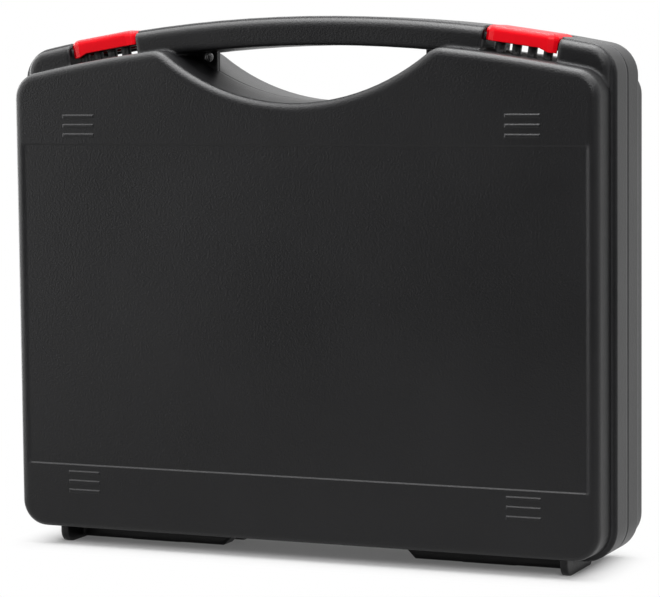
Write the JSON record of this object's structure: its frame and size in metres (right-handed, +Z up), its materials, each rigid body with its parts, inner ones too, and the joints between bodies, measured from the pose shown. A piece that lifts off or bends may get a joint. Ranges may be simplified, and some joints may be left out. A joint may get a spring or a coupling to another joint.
{
  "type": "hard tool case",
  "caption": "Hard moulded plastic tool case that stands on its feet, with an arched handle, a hinged lid, snap latches over the top edge and webs for a padlock.",
  "frame": {"origin": "on the floor under the middle of the case, in the plane where the two shells meet", "axes": "+X to the right seen from the front, +Y from the lid to the base, +Z up"},
  "size_m": [0.39, 0.091, 0.33],
  "materials": {
    "shell": "charcoal, finely grained",
    "latch": "red, satin",
    "pin": "plain drawn steel"
  },
  "bodies": {
    "base": {"rear_shell": "shell", "left_latch_pin": "pin", "right_latch_pin": "pin", "left_hinge_pin": "pin", "right_hinge_pin": "pin"},
    "lid": {"front_shell": "shell"},
    "left_latch": {"left_latch": "latch"},
    "right_latch": {"right_latch": "latch"}
  },
  "joints": [
    {"name": "lid_hinge", "type": "hinge", "parent": "base", "child": "lid", "pos_m": [0, 0.0085, 0.004], "axis": [1, 0, 0], "range_deg": [0, 100]},
    {"name": "left_latch_pivot", "type": "hinge", "parent": "base", "child": "left_latch", "pos_m": [-0.13793, 0.0025, 0.31437], "axis": [-0.9882, 0, -0.1533], "range_deg": [0, 90]},
    {"name": "right_latch_pivot", "type": "hinge", "parent": "base", "child": "right_latch", "pos_m": [0.13793, 0.0025, 0.31437], "axis": [-0.9882, 0, 0.1533], "range_deg": [0, 90]}
  ]
}
